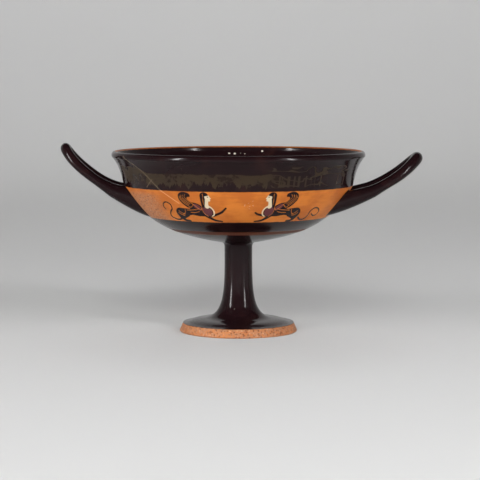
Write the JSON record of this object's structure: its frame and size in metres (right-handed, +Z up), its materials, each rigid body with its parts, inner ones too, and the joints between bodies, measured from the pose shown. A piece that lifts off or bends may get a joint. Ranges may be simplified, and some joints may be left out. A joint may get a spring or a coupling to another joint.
{
  "type": "kylix cup",
  "caption": "Wide stemmed drinking cup with an offset lip and rising loop handles, black gloss with a painted orange picture band.",
  "frame": {"origin": "midway between the two handles' tips, on the plane that the cup stands on; the stem's axis stands 2.6 mm towards -X, because the right handle reaches further out", "axes": "+Z up along the stem; X runs through the two handles, with the higher and shorter one at -X; -Y is the front of the cup"},
  "size_m": [0.2926, 0.205, 0.1529],
  "materials": {
    "black_gloss": "glossy brown-black slip over orange fired clay"
  },
  "bodies": {
    "root": {"kylix": "black_gloss"}
  },
  "joints": []
}
